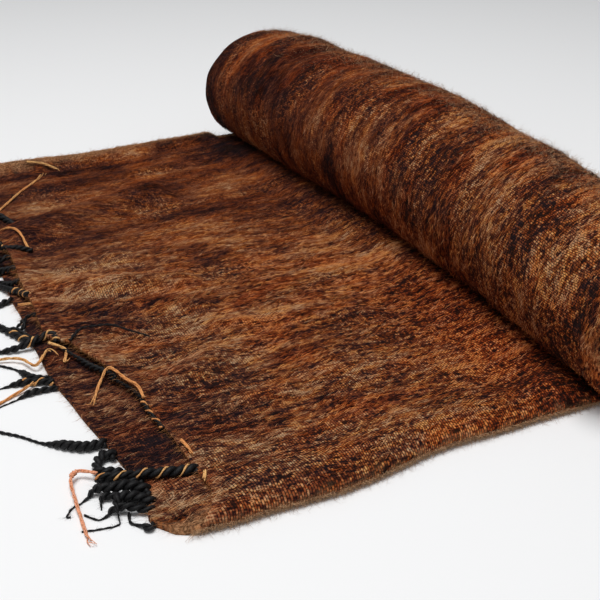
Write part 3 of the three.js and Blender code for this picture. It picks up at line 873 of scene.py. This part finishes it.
def smooth_path(stops, step):
    """A curve through the stops, sampled about every step."""
    stops = np.asarray(stops, float)
    padded = np.vstack([2 * stops[0] - stops[1], stops, 2 * stops[-1] - stops[-2]])
    parts = []
    for a, b, c, d in zip(padded, padded[1:], padded[2:], padded[3:]):
        t = np.linspace(0, 1, max(2, math.ceil(np.linalg.norm(c - b) / step)), endpoint=False)[:, None]
        bend = 2 * a - 5 * b + 4 * c - d
        swing = 3 * b - a - 3 * c + d
        parts.append(0.5 * (2 * b + (c - a) * t + bend * t**2 + swing * t**3))
    return np.vstack(parts + [stops[-1:]])


def path_frame(path):
    """The two directions square to a path at each point: to its side and over it."""
    heading = np.gradient(path, axis=0)
    heading /= np.linalg.norm(heading, axis=1, keepdims=True) + 1e-9
    side = np.cross(heading, [0.0, 0.0, 1.0])
    side /= np.linalg.norm(side, axis=1, keepdims=True) + 1e-9
    return side, np.cross(side, heading)


def tube(path, radius, sides=PLY_SIDES):
    """Points, faces and chart of a closed tube along a path, with one radius a point."""
    side, over = path_frame(path)
    angle = 2 * np.pi * np.arange(sides) / sides
    ring = side[:, None] * np.cos(angle)[None, :, None] + over[:, None] * np.sin(angle)[None, :, None]
    points = (path[:, None] + ring * radius[:, None, None]).reshape(-1, 3)
    index = np.arange(len(points)).reshape(len(path), sides)
    turned = np.roll(index, -1, axis=1)
    walls = np.stack([index[:-1], turned[:-1], turned[1:], index[1:]], -1).reshape(-1, 4)
    points = np.vstack([points, path[:1], path[-1:]])
    start, end = len(points) - 2, len(points) - 1
    caps = np.concatenate([
        np.stack([np.full(sides, start), turned[0], index[0]], -1),
        np.stack([np.full(sides, end), index[-1], turned[-1]], -1),
    ])
    row, column = np.divmod(np.arange(len(walls)), sides)
    wall_chart = np.stack([
        np.stack([column, column + 1, column + 1, column], -1) / sides,
        np.stack([row, row, row + 1, row + 1], -1) / (len(path) - 1),
    ], -1)
    around = np.arange(sides)
    cap_u = np.stack([around + 0.5, around + 1, around], -1) / sides
    cap_v = np.tile([-0.02, 0.0, 0.0], (sides, 1))
    cap_chart = np.concatenate([np.stack([cap_u, cap_v], -1), np.stack([cap_u[:, [0, 2, 1]], 1 - cap_v], -1)])
    return points, walls, caps, wall_chart, cap_chart


def join_tubes(name, tubes):
    """Tubes joined into one mesh, each with its own column of the chart."""
    first = np.cumsum([0] + [len(each[0]) for each in tubes])
    walls = np.vstack([each[1] + start for each, start in zip(tubes, first)])
    caps = np.vstack([each[2] + start for each, start in zip(tubes, first)])
    piece = mesh_piece(name, np.vstack([each[0] for each in tubes]), [walls, caps])
    charts = []
    for part in (3, 4):
        for k, each in enumerate(tubes):
            charts.append(((each[part] * [0.9, 0.94] + [0.05 + k, 0.03]) / [len(tubes), 1]).reshape(-1, 2))
    keep_chart(piece, np.vstack(charts))
    return piece


def wind(path, offset, angle):
    """The path of a ply that winds round a cord's own path at an offset from it."""
    side, over = path_frame(path)
    return path + offset[:, None] * (side * np.cos(angle)[:, None] + over * np.sin(angle)[:, None])


def cord_body(cord):
    """A cord's path and thickness, thinned to a tail. It lies on the floor where no height is given."""
    stops = [stop if len(stop) == 3 else (*stop, cord.thick / 2) for stop in cord.stops]
    path = smooth_path(stops, CORD_STEP)
    t = np.linspace(0, 1, len(path))
    thickness = cord.thick * (1 - (1 - cord.tail) * ease((t - cord.thin_from) / 0.24))
    thickness *= 1 + 0.08 * np.sin(9 * t + cord.thick)
    path[:, 2] = np.where(path[:, 2] < cord.thick / 2 + 0.01, thickness / 2, path[:, 2])
    return path, thickness


def cord_twist(cord, path):
    slack = 1 + 0.12 * math.sin(7 * cord.thick + cord.stops[0][1])
    return 2 * np.pi * path_length(path) / (CORD_PITCH * slack) + cord.stops[0][1]


def cord_tubes(cords):
    """The two black plies of each cord."""
    tubes = []
    for cord in cords:
        path, thickness = cord_body(cord)
        twist = cord_twist(cord, path)
        for start in (0.0, np.pi):
            tubes.append(tube(wind(path, 0.24 * thickness, twist + start), 0.27 * thickness))
    return tubes


def accent_tubes(cords):
    """The fine tan yarn that is twisted in with the first part of some cords."""
    tubes = []
    for cord in cords:
        if cord.accent:
            path, thickness = cord_body(cord)
            part = slice(0, max(8, int(cord.accent * len(path))))
            route = wind(path, 0.42 * thickness, cord_twist(cord, path) + np.pi / 2)[part]
            tubes.append(tube(route, 0.6 + 0.2 * np.sin(1.1 * path_length(path)[part])))
    return tubes


LOWER_CORDS = [
    Cord(4.4, 0.3, 0.45, 0, [(8, 27), (2, 22), (-1, 27), (-5, 33), (-3, 41)]),
    Cord(5.0, 0.5, 0.26, 0, [
        (10, 35, 3), (3, 38, 4), (-4, 43, 5), (-10, 46, 3), (-19, 44, 1), (-25, 52, 1)
    ]),
    Cord(6.4, 0.34, 0.18, 0, [
        (12, 41, 3), (4, 47, 6), (-5, 50, 7), (-9, 43, 5), (-11, 35, 1), (-21, 36, 1), (-31, 39, 1)
    ]),
    Cord(5.6, 0.68, 0.22, 0, [(13, 48, 3), (4, 50, 3), (-6, 58, 3), (-12, 59, 3), (-15, 52, 1)]),
    Cord(6.8, 0.46, 0.18, 0, [
        (14, 53, 3), (4, 59, 6), (-6, 62, 6), (-13, 67, 4),
        (-23, 63, 2), (-29, 61, 1), (-34, 55, 1), (-32, 54, 1),
    ]),
    Cord(5.8, 0.7, 0.3, 0, [(14, 62, 3), (5, 67, 4), (-4, 72, 4), (-9, 74, 4), (-10, 68, 5)]),
    Cord(6.8, 0.8, 0.6, 0, [(9, 94), (3, 97), (-3, 92), (-5, 84), (0, 79), (9, 77)]),
    Cord(6.4, 0.3, 0.32, 0, [
        (9, 110), (-4, 112), (-16, 122), (-25, 132), (-34, 145), (-43, 155), (-50, 163)
    ]),
    Cord(4.6, 0.35, 0.28, 0, [(4, 188), (-12, 190), (-28, 187), (-46, 182)]),
    Cord(5.2, 0.4, 0.28, 0.4, [(4, 196), (-10, 203), (-26, 207), (-48, 208)]),
    Cord(5.2, 0.45, 0.35, 0, [(4, 200), (-8, 209), (-13, 226), (-22, 238)]),
    Cord(5.6, 0.6, 0.4, 0.4, [(9, 251), (4, 262), (-2, 277), (-8, 294), (-18, 316)]),
    Cord(4.4, 0.3, 0.3, 0, [(10, 261), (6, 270), (2, 282), (-6, 296), (-14, 318)]),
    Cord(2.6, 0.2, 0.5, 0, [(13, 297), (6, 288), (-2, 285), (-20, 296)]),
    Cord(5.2, 0.5, 0.4, 0, [(15, 330), (9, 328), (0, 326), (-20, 332)]),
    Cord(5.2, 0.5, 0.4, 0.3, [(17, 353), (8, 362), (-4, 374), (-22, 388)]),
]
EVEN_FROM = 380
EVEN_PITCH = 24
EVEN_COUNT = 9

for k in range(EVEN_COUNT):
    y = EVEN_FROM + EVEN_PITCH * k
    x = float(end_x(y, False))
    bend = random.normal(0, 2.5, 3)
    stops = [(x - 1, y)]
    stops += [(x - 18, y + 2 + bend[0]), (x - 40, y + 5 + bend[1]), (x - 66, y + 9 + bend[2])]
    LOWER_CORDS.append(Cord(random.uniform(4.8, 5.8), 0.5, 0.4, 0.4 * (k % 3 == 0), stops))
lower_cords = join_tubes("cords_lower", cord_tubes(LOWER_CORDS))

BLACK = (0.0022, 0.0021, 0.0024)
BLACK_LINT = (0.011, 0.0100, 0.0110)
black_yarn, tree, shader = new_material("black_yarn", 0.6, 0.25)
lint = grain_noise(tree, 900.0, 3.0)
tree.links.new(tint(tree, spread(lint, 0.4, 0.75), BLACK, BLACK_LINT), shader.inputs["Base Color"])
raise_grain(tree, shader, lint, 0.6, 0.0005)
lower_cords.data.materials.append(black_yarn)

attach(lower_cords, "root")
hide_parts("fringe_lower")

# The upper fringe is the same on the top layer, whose end is drawn back from the front corner.
# Its cords lie over the under layer there, and come down to the floor between the lower cords behind.

OVER = LAYER + 2.6


def on_cloth(x, y, over=1.5, inland=0.0):
    """A spot that lies just over the upper layer."""
    return (x, y, float(flat_place(x + inland, float(y), DOUBLED + over, True)[2]))


def on_edge(x, y):
    """A cord's root at the end of the upper layer, wherever that rises to."""
    return on_cloth(x, y, over=-LAYER / 2, inland=2.0)


def all_on_cloth(*stops):
    return [on_cloth(*stop) for stop in stops]


UPPER_CORDS = [
    Cord(7.0, 0.45, 0.68, 1.0, [on_edge(45, 53), (29, 58, 7), (13, 65, 7), (0, 70, 7), (-9, 76, 5)]),
    Cord(3.2, 0.6, 0.8, 0.5, [on_edge(43, 101), (42, 122, 9), (43, 141, 10), (40, 160, 9), (35, 174, 8)]),
    Cord(4.4, 0.6, 0.6, 0, [on_edge(39, 169), (36, 180, 9), (30, 194, 8), (26, 208, 8), (21, 226, 8)]),
    Cord(2.6, 0.1, 0.6, 0, [
        (27, 229, 12), (38, 238, 14), (48, 237, 14), (59, 233, 14), (68, 221, 13), (77, 206, 13)
    ]),
    Cord(5.6, 0.6, 0.4, 0.5, [on_edge(21, 238), (19, 250, 9), (4, 250, 6), (-10, 252, 3), (-32, 262, 2)]),
    Cord(3.4, 0.3, 0.4, 0, [on_edge(18, 280), (12, 286, 7), (6, 278, 3), (-4, 284, 2), (-18, 298, 1)]),
    Cord(5.6, 0.55, 0.4, 0.4, [on_edge(22, 312), (21, 328, 8), (16, 343, 5), (10, 359, 3), (-2, 378, 2)]),
    Cord(5.2, 0.5, 0.4, 0, [on_edge(25, 341), (18, 350, 6), (10, 366, 3), (-4, 384, 2)]),
    Cord(5.4, 0.5, 0.4, 0, [on_edge(29, 367), (20, 378, 6), (6, 390, 3), (-14, 404, 2)]),
    Cord(5.4, 0.7, 0.6, 0, [
        on_cloth(50, 394), on_cloth(42, 400), on_edge(34, 408), (26, 420, 8), (10, 440, 3)
    ]),
    Cord(6.2, 0.7, 0.6, 0, [
        on_cloth(52, 455), on_cloth(49, 468), on_cloth(44, 479), (30, 494, 5), (12, 508, 3)
    ]),
]
for k in range(EVEN_COUNT):
    y = EVEN_FROM + EVEN_PITCH * (k + 0.5)
    x = float(end_x(y, True))
    bend = random.normal(0, 2.5, 2)
    stops = [on_edge(x - 1, y), (x - 30, y + 2 + bend[0], OVER)]
    stops += [(x - 46, y + 4, 3), (x - 74, y + 9 + bend[1], 2)]
    UPPER_CORDS.append(Cord(random.uniform(4.8, 5.6), 0.5, 0.4, 0.4 * (k % 3 == 1), stops))
upper_cords = join_tubes("cords_upper", cord_tubes(UPPER_CORDS))
upper_cords.data.materials.append(black_yarn)

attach(upper_cords, "root")
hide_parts("fringe_upper")

# A few warp yarns are tan and peach. They spiral round the black cords that they were twisted into,
# and some have slipped out and lie in loose loops on the cloth and the floor.

LOOSE_YARNS = [
    [
        (-7, 80, 5), (-15, 87, 5), (-20, 86, 5), (-23, 80, 4),
        (-26, 62, 3), (-28, 47, 1.6), (-30, 31, 1.3), (-29, 23, 1),
    ],
    [(43, 132, 13), (44, 144, 15), (41, 158, 14), (37, 178, 13), (28, 173, 6), (15, 152, 5), (11, 154, 5)],
    [(-42, 247, 1.2), (-19, 242, 3), (-7, 234, 4), (-1, 219, 5), (12, 232, 7), (15, 218, 6)],
    [(15, 240, 8), (22, 225, 8), (17, 212, 6), (22, 217, 7)],
    [(-40, 186, 1.2), (-28, 192, 1.2), (-14, 197, 3), (-2, 204, 4)],
    [on_cloth(48, 396), on_cloth(47, 420), on_cloth(41, 435), (33, 440, 12)],
    all_on_cloth((50, 494), (58, 506), (80, 533), (100, 555), (117, 575)),
    all_on_cloth((104, 589), (119, 584), (132, 572)),
    all_on_cloth((46, 80), (46.5, 71), (46, 62)),
    all_on_cloth((46, 46), (44, 42), (41, 37)),
    [(28, 300, 9), (20, 306, 8), (12, 312, 6)],
]
LOOSE_STRANDS = 5


def loose_strands(stops):
    """A slack yarn as a bundle of strands that part towards its end."""
    route = smooth_path(stops, CORD_STEP)
    length = path_length(route)
    t = length / length[-1]
    tubes = []
    for k in range(LOOSE_STRANDS):
        apart = 0.6 + 1.6 * random.uniform(0.2, 1) * ease((t - 0.8) / 0.2)
        angle = 2 * np.pi * (k / LOOSE_STRANDS + length / 25) + 0.8 * np.sin(length / 6 + 2 * k)
        strand = wind(route, apart, angle)
        strand[:, 2] = np.maximum(strand[:, 2], 0.4)
        until = int(len(route) * random.uniform(0.85, 1))
        tubes.append(tube(strand[:until], (0.5 - 0.3 * ease((t - 0.7) / 0.3))[:until]))
    return tubes


knot_route = smooth_path([(-17, 87, 5), (-19, 86.5, 5), (-21.5, 84, 5)], 0.25)
knot_size = np.ones(len(knot_route))
knot = tube(wind(knot_route, 1.1 * knot_size, 4 * path_length(knot_route)), 0.7 * knot_size)
peach_tubes = [knot] + loose_strands(LOOSE_YARNS[0])
tan_tubes = [strand for stops in LOOSE_YARNS[1:] for strand in loose_strands(stops)]
wound_tubes = accent_tubes(LOWER_CORDS + UPPER_CORDS)
accent = join_tubes("accent_yarn", peach_tubes + tan_tubes + wound_tubes)
peach = np.zeros(len(accent.data.vertices))
peach[:sum(len(each[0]) for each in peach_tubes)] = 1.0
keep_values(accent, "peach", peach)

RUDDY_TAN = (0.80, 0.34, 0.11)
GOLD_TAN = (0.84, 0.50, 0.19)
PEACH = (0.90, 0.40, 0.24)
TAN_SHADOW = (0.42, 0.15, 0.05)
tan_yarn, tree, shader = new_material("tan_yarn", 0.8, 0.25)
lint = grain_noise(tree, 1200.0, 3.0)
golden = tint(tree, spread(grain_noise(tree, 22.0, 1.0), 0.4, 0.6), RUDDY_TAN, GOLD_TAN)
dyed = tint(tree, read(tree, "peach"), golden, PEACH)
tree.links.new(tint(tree, spread(lint, 0.3, 0.6), TAN_SHADOW, dyed), shader.inputs["Base Color"])
raise_grain(tree, shader, lint, 0.5, 0.0004)
accent.data.materials.append(tan_yarn)

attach(accent, "root")

# The cords are as hairy as the cloth: short black fibres stand off every ply.
# They are the ends of the wool that was spun into the yarn, worked loose by the twisting.

FUZZ_SPACING = 0.3
FUZZ_BLACK = np.array([0.012, 0.011, 0.012])

fuzz_roots = []
for cord in LOWER_CORDS + UPPER_CORDS:
    path, thickness = cord_body(cord)
    picked = random.integers(0, len(path), int(path_length(path)[-1] / FUZZ_SPACING))
    around = random.normal(0, 1, (len(picked), 3))
    around /= np.linalg.norm(around, axis=1, keepdims=True)
    fuzz_roots.append(np.hstack([path[picked] + around * thickness[picked, None] * 0.42, around]))
fuzz_roots = np.vstack(fuzz_roots)
outward = fuzz_roots[:, 3:]
paths = halo_paths(fuzz_roots[:, :3], outward, random.uniform(0.6, 2.2, len(outward)))
facing = outward[:, None] + random.normal(0, 0.8, (len(outward), 1, 3))
black = random.uniform(0.5, 1.5, (len(outward), 1)) * FUZZ_BLACK
fuzz = fibre_piece("cord_fuzz", paths, facing, random.uniform(0.08, 0.16, len(outward)))
dye_hair(fuzz, black)

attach(fuzz, "root")

# Cloth, nap and fringe are one sheet: the fibres grow out of the weave and the cords are its own warp.
# Folded once and rolled, the layers hold each other in place.

# The blanket lies on a plain pale floor that runs on far behind it.
# The light is broad and soft, most of it from overhead and a little from the front.

FLOOR_REACH = 6

floor_mesh = bpy.data.meshes.new("floor")
floor_corners = [(FLOOR_REACH * x, FLOOR_REACH * y, 0) for x, y in ((-1, -1), (1, -1), (1, 1), (-1, 1))]
floor_mesh.from_pydata(floor_corners, [], [(0, 1, 2, 3)])
floor = set_down("floor", floor_mesh)
paper, tree, shader = new_material("pale_paper", 0.9, 0.5)
shader.inputs["Base Color"].default_value = (0.90, 0.90, 0.90, 1.0)
floor_mesh.materials.append(paper)

world = bpy.data.worlds.new("studio")
bpy.context.scene.world = world
world.use_nodes = True
sky = world.node_tree.nodes["Background"]
sky.inputs["Color"].default_value = (0.95, 0.97, 1.0, 1.0)
sky.inputs["Strength"].default_value = 0.25


def soft_light(name, place, aim, size, power):
    lamp = bpy.data.lights.new(name, "AREA")
    lamp.shape = "DISK"
    lamp.size = size
    lamp.energy = power
    light = set_down(name, lamp)
    light.location = place
    away = np.array(place) - np.array(aim)
    tilt = math.acos(away[2] / np.linalg.norm(away))
    light.rotation_euler = (tilt, 0, math.atan2(away[1], away[0]) + math.pi / 2)


soft_light("overhead", (-0.35, -0.15, 2.3), aim=(0, 0, 0), size=1.5, power=46)
soft_light("front_fill", (-1.6, -1.8, 1.2), aim=(0, 0, 0.05), size=1.4, power=4)

SENSOR_WIDTH = 36
LENS = 1084 / 600 * SENSOR_WIDTH
EYE = np.array([-156, -427, 377])
LOOK_DOWN = 26.75
LOOK_RIGHT = 29.21

camera_data = bpy.data.cameras.new("camera")
camera_data.sensor_width = SENSOR_WIDTH
camera_data.lens = LENS
camera = set_down("camera", camera_data)
camera.location = (EYE + CLOTH_ORIGIN) * MM
camera.rotation_euler = (math.radians(90 - LOOK_DOWN), 0, math.radians(-LOOK_RIGHT))
bpy.context.scene.camera = camera
bpy.context.scene.view_settings.view_transform = "Standard"
